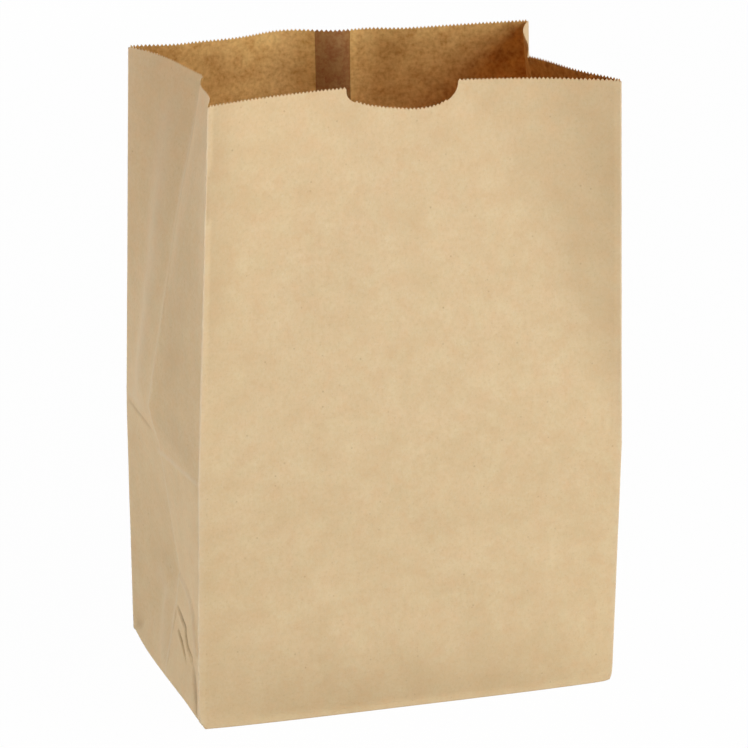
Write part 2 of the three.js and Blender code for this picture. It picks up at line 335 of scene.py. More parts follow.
# Each panel's crease lines and bands of painted shade and highlight, and whether it is a wide one
PANEL_CREASES_AND_PAINTED_LIGHT = {
    "front": (FRONT_PAINTED_SHADE, True),
    "right": (RIGHT_CREASES, False),
    "back": (BACK_CREASES_AND_PAINTED_LIGHT, True),
    "left": (LEFT_CREASES_AND_PAINTED_LIGHT, False),
}

# Blunted corners of the base: which way each lies from the middle, how it is pushed, and that push's reach
BLUNT_CORNERS = (
    ((-1, -1), (0.0026, 0.0, 0.0), (0.020, 0.100, 0.0075)),
    ((1, -1), (-0.0009, 0.0008, 0.0004), (0.005, 0.005, 0.005)),
    ((1, 1), (-0.0006, -0.0006, 0.0003), (0.004, 0.004, 0.004)),
    ((-1, 1), (0.0, 0.0, 0.0032), (0.010, 0.028, 0.007)),
)

# Rubbing and painted highlight of a fold: how far it reaches, and its share on the base folds
WEAR_AND_HIGHLIGHT_REACH = 0.0011
BASE_WEAR_AND_HIGHLIGHT = 0.15

# How far a fold's column is drawn towards its neighbours
FOLD_SOFTNESS = 0.6

# How close to a vertical fold, and to the floor, a crease fades, and how late a dark mark of crushing and
# painted shade tapers
CREASE_FADE = 0.0030
FLOOR_FADE = 0.012
TAPER_POWER = 2.5

# Middle of each base flap above the floor, and layers of the seam and of the base, in paper thicknesses
FLAP_LEVELS = {"front": 1.5, "right": 3.5, "back": 0.5, "left": 3.5}
SEAM_LAYERS = 2.0
BASE_LAYERS = 3.0


def even_rise(bag, stance, z):
    """Rises evenly from 0 at the hinge crease to 1 at the mouth."""
    return np.clip((z - stance.hinge) / (bag.height - stance.hinge), 0.0, None)


def mouth_rise(bag, stance, z):
    """The even rise raised to the mouth curve, so that the mouth's shape sets in late."""
    return even_rise(bag, stance, z) ** stance.mouth_curve


def fold_place(bag, stance, name, z):
    """Plan place of a vertical fold: straight from its foot to the hinge, and from there to the mouth."""
    (side_x, side_y), draws = FOLDS[name]
    heights = (0.0, stance.hinge, bag.height)
    draw_x, draw_y = (np.interp(z, heights, draw) for draw in zip(*draws))
    return side_x * ((bag.width - bag.paper) / 2 - draw_x), side_y * ((bag.depth - bag.paper) / 2 - draw_y)


def between(start, end, share):
    """The straight line from start to end at a share of its length."""
    return start[0] + (end[0] - start[0]) * share, start[1] + (end[1] - start[1]) * share


def low_swell(stance, share, z):
    """Out at the base edge and more above it: flat across with steep ends, fading upwards."""
    across = 1.0 - (2.0 * share - 1.0) ** SWELL_POWER
    up = z / stance.swell_height
    return across * (stance.base_bow * np.exp(-up) + stance.front_swell * up * np.exp(1.0 - up))


def front_panel(bag, stance, share, z):
    """The straight line between the front folds, bowed in by two half parabolas at the mouth.

    Below the mouth each half narrows towards its fold, so it is a cone from the hinge's end.
    """
    start, end = fold_place(bag, stance, "front_left", z), fold_place(bag, stance, "front_right", z)
    x, y = between(start, end, share)
    rise = even_rise(bag, stance, z)
    peak = 0.5 + stance.front_bow_offset / bag.width
    cone = np.maximum(rise, CONE_LEAST)
    left = np.clip(1.0 - share / (peak * cone), 0.0, 1.0)
    right = np.clip(1.0 - (1.0 - share) / ((1.0 - peak) * cone), 0.0, 1.0)
    bow = stance.front_bow * (1.0 - left ** 2) * (1.0 - right ** 2) * rise ** stance.front_curve
    return x, y + bow - low_swell(stance, share, z)


def back_panel(bag, stance, share, z):
    """The straight line between the back folds, with bell-shaped billows at the mouth."""
    start, end = fold_place(bag, stance, "back_right", z), fold_place(bag, stance, "back_left", z)
    x, y = between(start, end, share)
    along = bag.width * (0.5 - share)
    ends = np.minimum(1.0, BILLOW_ENDS * share * (1.0 - share))
    out = sum(height * np.exp(-((along - at) / reach) ** 2) for at, height, reach in BACK_BILLOWS)
    return x, y + out * ends * mouth_rise(bag, stance, z) + low_swell(stance, share, z)


def crease_depth(bag, stance, fold_in, z):
    """How far a gusset's centre crease is pushed in.

    It is straight from the fork to the hinge, the knuckle, the bend and the mouth.
    """
    knuckle = stance.hinge + stance.knuckle_rise
    bend_height, bend_depth = CREASE_BEND
    heights = (stance.fork, stance.hinge, knuckle, knuckle + bend_height * (bag.height - knuckle), bag.height)
    bend = bend_depth * (fold_in + stance.hinge_bulge) - stance.hinge_bulge
    depths = (stance.fork_dent, -HINGE_SHARE * stance.hinge_bulge, -stance.hinge_bulge, bend, fold_in)
    return np.interp(z, heights, depths)


def flat_depth(bag, stance, fold_in, z):
    """The same without the knuckle, up to twice its rise, as the front half has away from the crease."""
    top = stance.hinge + 2.0 * stance.knuckle_rise
    heights = (stance.fork, stance.hinge, top)
    low = (stance.fork_dent, -FLAT_SHARE * stance.hinge_bulge, crease_depth(bag, stance, fold_in, top))
    return np.where(z < top, np.interp(z, heights, low), crease_depth(bag, stance, fold_in, z))


def triangle_edge(stance, side, end, share):
    """Height of the pasted triangle's edge: straight up to the fork, but early on the left front."""
    if (side, end) == ("left", "front"):
        return stance.fork * (1.0 - (1.0 - share) ** TRIANGLE_POWER)
    return stance.fork * share


def gusset_half(bag, stance, side, end, share, z):
    """From a vertical fold (share 0) straight to the centre crease (share 1), pushed in by its depth.

    The back half's hinge slants down to its fold. Below the fork the pasted triangle leans in.
    """
    sign = -1 if side == "left" else 1
    near, far = (("front_", "back_") if end == "front" else ("back_", "front_"))
    start = fold_place(bag, stance, near + side, z)
    crease = between(start, fold_place(bag, stance, far + side, z), 0.5)
    crease = (crease[0], crease[1] + CREASE_SHIFT[side] * mouth_rise(bag, stance, z))
    x, y = between(start, crease, share)
    fold_in = stance.left_fold_in if side == "left" else stance.right_fold_in
    if end == "front":
        flat = flat_depth(bag, stance, fold_in, z)
        above = flat * share + (crease_depth(bag, stance, fold_in, z) - flat) * share ** KNUCKLE_POWER
    else:
        slant = stance.hinge_slant * (1.0 - share) * np.exp(-((z - stance.hinge) / SLANT_REACH) ** 2)
        above = crease_depth(bag, stance, fold_in, z + slant) * share
    edge = np.maximum(triangle_edge(stance, side, end, share), WALL_FOOT + bag.paper)
    leaning = stance.fork_dent * share * np.clip((z - WALL_FOOT) / (edge - WALL_FOOT), 0.0, 1.0)
    level = np.where(z < stance.fork, leaning, above)
    belly, sway = HALF_CURVES[side + "_" + end]
    curve = belly * np.sin(math.pi * share) + sway * np.sin(2.0 * math.pi * share)
    return x - sign * (level + curve * mouth_rise(bag, stance, z)), y


def with_fold_stops(places, length):
    """Places along a run as shares of its length, with close stops beside both ends."""
    close = np.array(FOLD_STOPS)
    stops = np.concatenate((places, close, length - close)) / length
    return np.unique(stops.round(STOP_DIGITS))


def cell_width(bag):
    """Width of one cell of the mouth, which carries a whole number of teeth."""
    return TEETH_PER_CELL * bag.pink_pitch


def even_stops(length, width, parts=1):
    """Stops one width, or an even part of one, apart on a straight run."""
    count = max(2, round(length / width)) * parts
    return with_fold_stops(np.linspace(0.0, length, count + 1), length)


def whole_cells(bag, start, end):
    """Stops from start to end, a whole number of cells apart."""
    return np.linspace(start, end, round((end - start) / cell_width(bag)) + 1)


def front_stops(bag):
    """Stops of the front panel: cells beside the notch and along its bottom, close stops at its ends."""
    start = bag.width / 2 + bag.notch_offset - bag.notch_width / 2
    end = start + bag.notch_width
    steep = start + np.array(NOTCH_LEFT_STOPS)
    round_end = end - np.array(NOTCH_RIGHT_STOPS)
    bottom = whole_cells(bag, steep[-1], round_end[-1])
    left, right = whole_cells(bag, 0.0, start), whole_cells(bag, end, bag.width)
    return with_fold_stops(np.concatenate((left, steep, bottom, round_end, right)), bag.width)


def back_stops(bag):
    """Stops of the back panel: cells beside the seam and across it, and steps one paper wide between."""
    start = bag.width / 2 - bag.seam_offset - bag.seam_lap / 2
    end = start + bag.seam_lap
    runs = ((0.0, start), (start + bag.paper, end - bag.paper), (end, bag.width))
    return with_fold_stops(np.concatenate([whole_cells(bag, *run) for run in runs]), bag.width)


def line_distance(along, z, points):
    """Distance from each place on a panel to a line of points, and how far along the line that is."""
    lengths = [math.dist(start, end) for start, end in zip(points[:-1], points[1:])]
    best = np.full(np.broadcast(along, z).shape, np.inf)
    way = np.zeros_like(best)
    passed = 0.0
    for (along_0, z_0), (along_1, z_1), length in zip(points[:-1], points[1:], lengths):
        run, climb = along_1 - along_0, z_1 - z_0
        share = np.clip(((along - along_0) * run + (z - z_0) * climb) / length ** 2, 0.0, 1.0)
        distance = np.hypot(along - along_0 - share * run, z - z_0 - share * climb)
        way = np.where(distance < best, (passed + share * length) / sum(lengths), way)
        best = np.minimum(best, distance)
        passed += length
    return best, way


def crease_relief_and_painted_light(creases_and_painted_bands, along, z, half):
    """Height outwards of each crease of a panel, and its mark of rubbing, crushing and painted light: a bell
    across each line.

    It fades beside the vertical folds and at the floor, and a dark mark of crushing and painted shade tapers
    to its ends.
    """
    height = np.zeros(np.broadcast(along, z).shape)
    wear = np.zeros_like(height)
    fade = np.clip((half - np.abs(along)) / CREASE_FADE, 0.0, 1.0) * np.clip(z / FLOOR_FADE, 0.0, 1.0)
    for points, out, reach, worn_and_painted_light in creases_and_painted_bands:
        distance, way = line_distance(along, z, points)
        bell = fade * np.exp(-(distance / reach) ** 2)
        if worn_and_painted_light < 0.0:
            bell = bell * (1.0 - np.abs(2.0 * way - 1.0) ** TAPER_POWER)
        height += out * bell
        wear = stronger(wear, worn_and_painted_light * bell)
    return height, wear


def stronger(a, b):
    """Of two marks the one further from nothing, whichever its sign."""
    return np.where(np.abs(a) > np.abs(b), a, b)


def ripples(along, z, seed, amount):
    """A few crossing waves of random lengths, directions and phases, which the seed fixes."""
    random = np.random.default_rng(seed)
    height = np.zeros(np.broadcast(along, z).shape)
    for _ in range(RIPPLE_WAVES):
        length = random.uniform(*RIPPLE_LENGTHS)
        turn = random.uniform(0.0, math.pi)
        phase = random.uniform(0.0, 2.0 * math.pi)
        height += np.sin(2 * math.pi / length * (along * math.cos(turn) + z * math.sin(turn)) + phase)
    return amount * height / math.sqrt(RIPPLE_WAVES)


def grid_normals(points):
    """Unit normals of a grid of points: its run along a row crossed with its run up a column."""
    normal = np.cross(np.gradient(points, axis=1), np.gradient(points, axis=0))
    return normal / np.linalg.norm(normal, axis=2, keepdims=True)


def ring_normals(points):
    """Unit normals of a grid that closes round in its rows."""
    across = np.roll(points, -1, axis=1) - np.roll(points, 1, axis=1)
    normal = np.cross(across, np.gradient(points, axis=0))
    return normal / np.linalg.norm(normal, axis=2, keepdims=True)


class Strip:
    """One panel, or half a gusset, of the wall, with the stops of its columns."""

    def __init__(self, name, place, length, stops):
        self.name = name
        self.place = place
        self.length = length
        self.stops = stops


def wall_strips(bag, stance):
    """The six strips of the wall in order round the girth, seen from above against the clock."""
    half = bag.depth / 2
    plain = even_stops(half, cell_width(bag))

    def half_from_fold(side, end):
        """A gusset half that starts at its vertical fold."""
        return lambda share, z: gusset_half(bag, stance, side, end, share, z)

    def half_to_fold(side, end):
        """A gusset half that ends at its vertical fold."""
        return lambda share, z: gusset_half(bag, stance, side, end, 1.0 - share, z)

    return (
        Strip("front", lambda share, z: front_panel(bag, stance, share, z), bag.width, front_stops(bag)),
        Strip("right_front", half_from_fold("right", "front"), half, plain),
        Strip("right_back", half_to_fold("right", "back"), half, plain),
        Strip("back", lambda share, z: back_panel(bag, stance, share, z), bag.width, back_stops(bag)),
        Strip("left_back", half_from_fold("left", "back"), half, plain),
        Strip("left_front", half_to_fold("left", "front"), half, plain),
    )


def notch_drop(bag, along):
    """Depth of the thumb notch along the front panel: two superellipses, steep left and round right."""
    run = along - bag.width / 2 - bag.notch_offset + bag.notch_width / 2
    left = np.clip(1.0 - run / bag.notch_deepest, 0.0, 1.0)
    right = np.clip((run - bag.notch_deepest) / (bag.notch_width - bag.notch_deepest), 0.0, 1.0)
    steep, steep_root = NOTCH_LEFT_POWERS
    rounded, round_root = NOTCH_RIGHT_POWERS
    return bag.notch_depth * (1.0 - left ** steep) ** steep_root * (1.0 - right ** rounded) ** round_root


def tooth_wave(along, pitch, length):
    """A triangle wave: 0 at each stop that is a whole tooth along, 1 half a tooth on."""
    pitch = length / max(2, round(length / pitch))
    phase = (along / pitch) % 1.0
    return 1.0 - np.abs(2.0 * phase - 1.0)


def row_heights(bands):
    """Heights of a wall's rows, from just above the base folds to the foot of the mouth band."""
    heights = [WALL_FOOT]
    for top, count in bands:
        heights.extend(np.linspace(heights[-1], top, count + 1)[1:])
    return np.array(heights)


def strip_grid(bag, stance, strip, rows, edge, seed):
    """Middle of the sheet over one strip, rows by stops up to the mouth's edge, and its marks of rubbing and
    painted light.
    """
    along = strip.stops * strip.length
    climb = np.linspace(0.0, 1.0, MOUTH_ROWS + 1)[1:, None]
    mouth = rows[-1] + (edge[None, :] - rows[-1]) * climb
    z = np.concatenate((np.repeat(rows[:, None], along.size, axis=1), mouth))
    share = np.repeat(strip.stops[None, :], z.shape[0], axis=0)
    x, y = strip.place(share, z)
    points = np.stack((x, y, z), axis=2)
    window = np.sqrt(np.clip(4.0 * share * (1.0 - share), 0.0, 1.0)) * np.clip(z / RIPPLE_FOOT, 0.0, 1.0)
    height = ripples(share * strip.length, z, seed, stance.ripple) * window
    # Folds are paler by rubbing and a painted highlight along them
    wear = fold_wear_and_highlight(np.minimum(share, 1.0 - share) * strip.length)
    creases_and_painted_bands, wide = PANEL_CREASES_AND_PAINTED_LIGHT[strip.name.split("_")[0]]
    across, half = (x, bag.width / 2) if wide else (y, bag.depth / 2)
    raised, crease_and_painted_marks = crease_relief_and_painted_light(creases_and_painted_bands, across, z, half)
    points = points + grid_normals(points) * (height + raised)[:, :, None]
    return points, stronger(wear, crease_and_painted_marks)


def plain_edge(bag, strip):
    """Height of the valleys of the pinked mouth along a strip, with the notch cut into the front one."""
    edge = np.full(strip.stops.shape, bag.height - bag.pink_depth)
    if strip.name == "front":
        edge = edge - notch_drop(bag, strip.stops * strip.length)
    return edge


def soften_folds(points, columns):
    """Draws each fold's column towards the middle of its two neighbours, as a bent sheet is."""
    middle = (np.roll(points, -1, axis=1) + np.roll(points, 1, axis=1))[:, columns] / 2
    points[:, columns] += (middle - points[:, columns]) * FOLD_SOFTNESS
    return points


def blunt_corners(bag, points):
    """Pushes the corners of the base: a bell of the distance from each corner."""
    moved = points.copy()
    for (side_x, side_y), push, reach in BLUNT_CORNERS:
        corner = np.array((side_x * bag.width / 2, side_y * bag.depth / 2, 0.0))
        distance = np.linalg.norm((points - corner) / np.array(reach), axis=-1, keepdims=True)
        moved += np.exp(-distance ** 2) * np.array(push)
    return moved


def seam_offsets(bag, strips, starts, count):
    """Distance of the outer and the inner face from the middle of the sheet, with the seam's two layers."""
    outer = np.full(count, bag.paper / 2)
    inner = np.full(count, -bag.paper / 2)
    layers = np.ones(count)
    place = (strips[BACK_STRIP].stops - 0.5) * bag.width + bag.seam_offset
    lap = np.abs(place) < bag.seam_lap / 2 + bag.paper / 2
    columns = starts[BACK_STRIP] + np.flatnonzero(lap)
    inner[columns[1:]] = -1.5 * bag.paper
    outer[columns[-1]] = -0.5 * bag.paper
    layers[columns[1:-1]] = SEAM_LAYERS
    return outer, inner, layers


def fold_wear_and_highlight(distance):
    """How much rubbing and painted highlight the sheet has at a distance from a fold: 1 on it, fading as a
    bell.
    """
    return np.exp(-(distance / WEAR_AND_HIGHLIGHT_REACH) ** 2)


class SheetMesh:
    """Collects the folded sheet's points, their places on the flat sheet, their marks, and the faces."""

    def __init__(self):
        self.points = []
        self.places = []
        self.marks = []
        self.insides = []
        self.faces = []
        self.count = 0

    def add_grid(self, points, places, marks, inside):
        """Adds and numbers the points of a grid, with their sheet places, (layers, mark of rubbing and
        painted light) and face.
        """
        shape = points.shape[:-1]
        numbers = np.arange(self.count, self.count + int(np.prod(shape))).reshape(shape)
        self.count += numbers.size
        self.points.append(points.reshape(-1, 3))
        self.places.append(places.reshape(-1, 2))
        self.marks.append(marks.reshape(-1, 2))
        self.insides.append(np.full(numbers.size, float(inside)))
        return numbers

    def add_faces(self, *corners, flipped=False):
        """Adds a face for each set of corners in the arrays, in their order or turned over."""
        corners = corners[:1] + corners[:0:-1] if flipped else corners
        self.faces.extend(np.stack([corner.ravel() for corner in corners], axis=1).tolist())

    def add_patch(self, numbers, flipped):
        """Joins a grid of numbers, row above row, into quads."""
        low, high = numbers[:-1], numbers[1:]
        self.add_faces(low[:, :-1], low[:, 1:], high[:, 1:], high[:, :-1], flipped=flipped)

    def add_zip(self, left, left_heights, right, right_heights, flipped):
        """Joins two columns of unlike rows by triangles: each next point, in order of height, closes one."""
        heights = np.concatenate((left_heights[1:], right_heights[1:]))
        from_left = np.arange(heights.size) < left.size - 1
        from_left = from_left[np.argsort(heights, kind="stable")]
        at_left = np.cumsum(from_left) - from_left
        at_right = np.cumsum(~from_left) - ~from_left
        upper = np.where(from_left, left[np.minimum(at_left + 1, left.size - 1)],
                         right[np.minimum(at_right + 1, right.size - 1)])
        self.add_faces(left[at_left], right[at_right], upper, flipped=flipped)


def place_and_mark(along, points, layers, wear):
    """Place on the flat sheet and (layers, mark of rubbing and painted light) of each point of a grid."""
    places = np.stack(np.broadcast_arrays(along[None, :], points[:, :, 2]), axis=2)
    marks = np.stack(np.broadcast_arrays(layers[None, :], wear), axis=2)
    return places, marks


class Wall:
    """The wall of the bag: a ring of plain strips, and the wrinkled left front half of closer rows."""

    def __init__(self, bag, stance, sheet):
        self.strips = wall_strips(bag, stance)
        self.starts = np.cumsum([0] + [strip.stops.size - 1 for strip in self.strips])
        self.girth = sum(strip.length for strip in self.strips)
        self.seam_place = bag.width + bag.depth + bag.width / 2 - bag.seam_offset
        self.add_ring(bag, stance, sheet)
        self.add_wrinkled(bag, stance, sheet)
        self.close_mouth(bag, sheet)

    def sheet_place(self, along):
        """A place round the girth as a place on the flat sheet, which starts at the seam."""
        return (along - self.seam_place) % self.girth

    def add_ring(self, bag, stance, sheet):
        """Both faces of the five plain strips, each an offset of the middle of the sheet along its normal."""
        rows = row_heights(WALL_ROWS)
        grids = [strip_grid(bag, stance, strip, rows, plain_edge(bag, strip), seed)
                 for seed, strip in enumerate(self.strips, RIPPLE_SEED)]
        points = np.concatenate([grid[:, :-1] for grid, _ in grids], axis=1)
        wear = np.concatenate([worn_and_painted_light[:, :-1] for _, worn_and_painted_light in grids], axis=1)
        points = blunt_corners(bag, soften_folds(points, self.starts[:-1]))
        outer, inner, layers = seam_offsets(bag, self.strips, self.starts, points.shape[1])
        lengths = [strip.length for strip in self.strips]
        along = np.concatenate([strip.stops[:-1] * strip.length + start for strip, start
                                in zip(self.strips, np.cumsum([0.0] + lengths))])
        places, marks = place_and_mark(self.sheet_place(along), points, layers, wear)
        kept = slice(0, self.starts[WRINKLED_STRIP] + 1)
        self.points = points[:, kept]
        self.normals = ring_normals(points)[:, kept]
        self.places, self.marks = places[:, kept], marks[:, kept]
        self.offsets = (outer[kept], inner[kept])
        self.faces = []
        for offset, flipped in zip(self.offsets, (False, True)):
            moved = self.points + self.normals * offset[None, :, None]
            numbers = sheet.add_grid(moved, self.places, self.marks, flipped)
            sheet.add_patch(numbers, flipped)
            self.faces.append(numbers)

    def add_wrinkled(self, bag, stance, sheet):
        """Both faces of the left front half, zipped to the centre crease and to the front fold."""
        plain = self.strips[WRINKLED_STRIP]
        stops = even_stops(plain.length, bag.pink_pitch, WRINKLE_PARTS)[1:-1]
        strip = Strip(plain.name, plain.place, plain.length, stops)
        along = stops * strip.length
        teeth = bag.pink_depth * tooth_wave(along, bag.pink_pitch, strip.length)
        edge = bag.height - bag.pink_depth + teeth
        rows = row_heights(WRINKLED_ROWS)
        points, wear = strip_grid(bag, stance, strip, rows, edge, RIPPLE_SEED + WRINKLED_STRIP)
        points = blunt_corners(bag, points)
        normals = grid_normals(points)
        place = self.sheet_place(self.girth - strip.length + along)
        places, marks = place_and_mark(place, points, np.ones(stops.size), wear)
        self.wrinkled_points = points
        self.wrinkled_faces = []
        for numbers, offset, flipped in zip(self.faces, (bag.paper / 2, -bag.paper / 2), (False, True)):
            fine = sheet.add_grid(points + normals * offset, places, marks, flipped)
            sheet.add_patch(fine, flipped)
            crease, fold = self.points[:, -1, 2], self.points[:, 0, 2]
            sheet.add_zip(numbers[:, -1], crease, fine[:, 0], points[:, 0, 2], flipped)
            sheet.add_zip(fine[:, -1], points[:, -1, 2], numbers[:, 0], fold, flipped)
            self.wrinkled_faces.append(fine)

    def toothed_cells(self, bag):
        """Which cells of the ring's mouth carry teeth, those wide enough for them, and how wide they are."""
        plain = self.strips[:WRINKLED_STRIP]
        run = np.concatenate([np.diff(strip.stops) * strip.length for strip in plain])
        cells = np.flatnonzero(run > TOOTHED_SHARE * cell_width(bag))
        return cells, run[cells]

    def close_mouth(self, bag, sheet):
        """Adds the teeth on the ring's wide cells, and the cut edge of the paper between its faces."""
        cells, run = self.toothed_cells(bag)
        shares = np.array(TOOTH_PLACES)
        start, end = self.points[-1, cells][:, None], self.points[-1, cells + 1][:, None]
        teeth = start + (end - start) * shares[None, :, None]
        teeth[:, :, 2] += bag.pink_depth * np.array(TOOTH_HEIGHTS)
        across = self.places[-1, cells, 0][:, None] + run[:, None] * shares
        places = np.stack((across, teeth[:, :, 2]), axis=2)
        marks = np.repeat(self.marks[-1, cells][:, None], shares.size, axis=1)
        along = np.concatenate((np.arange(self.points.shape[1]), (cells[:, None] + shares).ravel()))
        order = np.argsort(along)
        loops = []
        for side, flipped in ((0, False), (1, True)):
            offset = (self.offsets[side][cells] + self.offsets[side][cells + 1]) / 2
            moved = teeth + (self.normals[-1, cells] * offset[:, None])[:, None]
            tips = sheet.add_grid(moved, places, marks, flipped)
            top = self.faces[side][-1]
            sheet.add_faces(top[cells], top[cells + 1], *tips.T[::-1], flipped=flipped)
            ring = np.concatenate((top, tips.ravel()))[order]
            loops.append(np.concatenate((ring, self.wrinkled_faces[side][-1])))
        outside, inside = loops
        sheet.add_faces(outside, np.roll(outside, -1), np.roll(inside, -1), inside)

    def bottom_edge(self, side):
        """Points of the middle of the sheet, and both faces' numbers, along the bottom of one side."""
        first, last = SIDE_STRIPS[side]
        columns = np.arange(self.starts[first], self.starts[last] + 1)
        points = self.points[0, columns]
        faces = [numbers[0, columns] for numbers in self.faces]
        if side == "left":
            points = np.concatenate((points, self.wrinkled_points[0], self.points[0, :1]))
            faces = [np.concatenate((row, fine[0], numbers[0, :1])) for row, fine, numbers
                     in zip(faces, self.wrinkled_faces, self.faces)]
        return points, faces


def flap_profile(level, length, radius):
    """Section of a base flap, from its free end to the wall's foot: inset, height and turn of the sheet.

    It runs flat, round a quarter circle of the radius, and straight up.
    """
    flat = np.linspace(length, radius, FLAP_ROWS + 1)[:-1]
    turn = np.linspace(math.pi / 2, 0.0, FOLD_ARC_ROWS + 1)
    inset = np.concatenate((flat, radius * (1.0 - np.cos(turn))))
    height = np.concatenate((np.full(flat.shape, level), level + radius * (1.0 - np.sin(turn))))
    turn = np.concatenate((np.full(flat.shape, math.pi / 2), turn))
    return inset, height, turn


def add_flap(bag, sheet, wall, side, place):
    """Adds one base flap at its place on the flat sheet: long flaps narrow inwards, side flaps are square."""
    points, faces = wall.bottom_edge(side)
    x, y = points[:, 0], points[:, 1]
    long_side = side in ("front", "back")
    run = x if long_side else y
    length = (bag.depth + bag.flap_lap) / 2
    inset, height, turn = flap_profile(FLAP_LEVELS[side] * bag.paper, length, bag.fold_radius)
    inset, height, turn = (np.repeat(value[:, None], run.size, axis=1) for value in (inset, height, turn))
    sign = -1.0 if side in ("front", "left") else 1.0
    if long_side:
        px, py = x * (1.0 - inset / (bag.width / 2)), y - sign * inset
        out = (0.0, sign)
    else:
        px, py = x - sign * inset, y * (1.0 - np.minimum(inset, bag.fold_radius) / (bag.depth / 2))
        out = (sign, 0.0)
    middle = blunt_corners(bag, np.stack((px, py, height), axis=2))
    normal = np.stack((out[0] * np.cos(turn), out[1] * np.cos(turn), -np.sin(turn)), axis=2)
    sheet_run = px if long_side else py
    places = np.stack((place + sheet_run, -inset), axis=2)
    layers = np.where(inset > bag.fold_radius, BASE_LAYERS, 1.0)
    # The base folds carry faint rubbing and a painted highlight
    marks = np.stack((layers, BASE_WEAR_AND_HIGHLIGHT * fold_wear_and_highlight(inset)), axis=2)
    edges = []
    for numbers, offset, flipped in zip(faces, (bag.paper / 2, -bag.paper / 2), (False, True)):
        grid = sheet.add_grid(middle + normal * offset, places, marks, flipped)
        flap = np.concatenate((grid, numbers[None, :]))
        sheet.add_patch(flap, flipped)
        edges.append(flap)
    under, over = edges
    sheet.add_faces(under[0, 1:], under[0, :-1], over[0, :-1], over[0, 1:])
    sheet.add_faces(under[:-1, 0], under[1:, 0], over[1:, 0], over[:-1, 0])
    sheet.add_faces(under[1:, -1], under[:-1, -1], over[:-1, -1], over[1:, -1])


def add_base(bag, sheet, wall):
    """Adds the four base flaps: the back flap lowest, the front one over it, the side flaps on top."""
    along = 0.0
    for side in FLAP_LEVELS:
        length = bag.width if side in ("front", "back") else bag.depth
        add_flap(bag, sheet, wall, side, float(wall.sheet_place(along + length / 2)))
        along += length


def sheet_to_mesh(name, sheet, girth):
    """A mesh of the folded sheet, with the flat sheet as its UV map in metres and its marks as attributes."""
    mesh = bpy.data.meshes.new(name)
    mesh.from_pydata(np.concatenate(sheet.points).tolist(), [], sheet.faces)
    corners = np.empty(len(mesh.loops), dtype=np.int32)
    mesh.loops.foreach_get("vertex_index", corners)
    starts = np.empty(len(mesh.polygons), dtype=np.int32)
    mesh.polygons.foreach_get("loop_start", starts)
    flat = np.concatenate(sheet.places)[corners]
    furthest = np.maximum.reduceat(flat[:, 0], starts)
    sizes = np.diff(np.append(starts, corners.size))
    flat[:, 0] += np.where(np.repeat(furthest, sizes) - flat[:, 0] > girth / 2, girth, 0.0)
    layer = mesh.uv_layers.new(name="sheet")
    layer.data.foreach_set("uv", flat.astype(np.float32).ravel())
    layers, wear = np.concatenate(sheet.marks).T
    marks = {"layers": layers, "wear": wear, "inside": np.concatenate(sheet.insides)}
    for label, values in marks.items():
        attribute = mesh.attributes.new(label, "FLOAT", "POINT")
        attribute.data.foreach_set("value", values.astype(np.float32))
    mesh.shade_smooth()
    mesh.set_sharp_from_angle(angle=CUT_ANGLE)
    mesh.validate()
    return mesh


class Nodes:
    """Short calls for the nodes of one material."""

    def __init__(self, material):
        material.use_nodes = True
        self.tree = material.node_tree
        self.tree.nodes.clear()

    def add(self, kind, **settings):
        """A node of a kind, with its settings."""
        node = self.tree.nodes.new(kind)
        for name, value in settings.items():
            setattr(node, name, value)
        return node

    def join(self, output, target):
        """A link from an output to an input."""
        self.tree.links.new(output, target)

    def put(self, target, value):
        """A link from an output, or a plain value, into an input."""
        if isinstance(value, bpy.types.NodeSocket):
            self.join(value, target)
        else:
            target.default_value = value

    def noise(self, place, scale, detail, roughness):
        """A noise of one scale at a place."""
        node = self.add("ShaderNodeTexNoise")
        self.join(place, node.inputs["Vector"])
        node.inputs["Scale"].default_value = scale
        node.inputs["Detail"].default_value = detail
        node.inputs["Roughness"].default_value = roughness
        return node.outputs["Fac"]

    def remap(self, value, low, high, to_low=0.0, to_high=1.0):
        """A value from one range to another, held at its ends."""
        node = self.add("ShaderNodeMapRange")
        self.join(value, node.inputs["Value"])
        for name, number in zip(("From Min", "From Max", "To Min", "To Max"), (low, high, to_low, to_high)):
            node.inputs[name].default_value = number
        return node.outputs["Result"]

    def math(self, operation, a, b):
        """Two values in one operation."""
        node = self.add("ShaderNodeMath", operation=operation)
        self.put(node.inputs[0], a)
        self.put(node.inputs[1], b)
        return node.outputs["Value"]

    def mix(self, share, a, b, way="MIX"):
        """Two colours mixed, or one multiplied by the other, by a share."""
        node = self.add("ShaderNodeMix", data_type="RGBA", blend_type=way)
        self.put(node.inputs[0], share)
        self.put(node.inputs[6], a)
        self.put(node.inputs[7], b)
        return node.outputs[2]

    def attribute(self, name):
        """A value of the mesh's own."""
        return self.add("ShaderNodeAttribute", attribute_name=name).outputs["Fac"]

    def blend(self, share, first, second, output="ShaderNodeOutputMaterial"):
        """Two shaders blended by a share, as the surface."""
        both = self.add("ShaderNodeMixShader")
        self.join(share, both.inputs["Fac"])
        self.join(first, both.inputs[1])
        self.join(second, both.inputs[2])
        self.join(both.outputs["Shader"], self.add(output).inputs["Surface"])


# Noises of the paper over its flat sheet: scale per metre, detail and roughness
NOISES = {
    "fibre": (380.0, 3.0, 0.6),
    "cloud": (42.0, 4.0, 0.62),
    "hue": (55.0, 2.0, 0.5),
    "mottle": (330.0, 3.0, 0.6),
    "formation": (95.0, 2.0, 0.6),
    "grain": (1300.0, 2.0, 0.5),
    "fleck": (620.0, 1.0, 0.5),
}
FIBRE_STRETCH = (3.0, 1.0, 1.0)

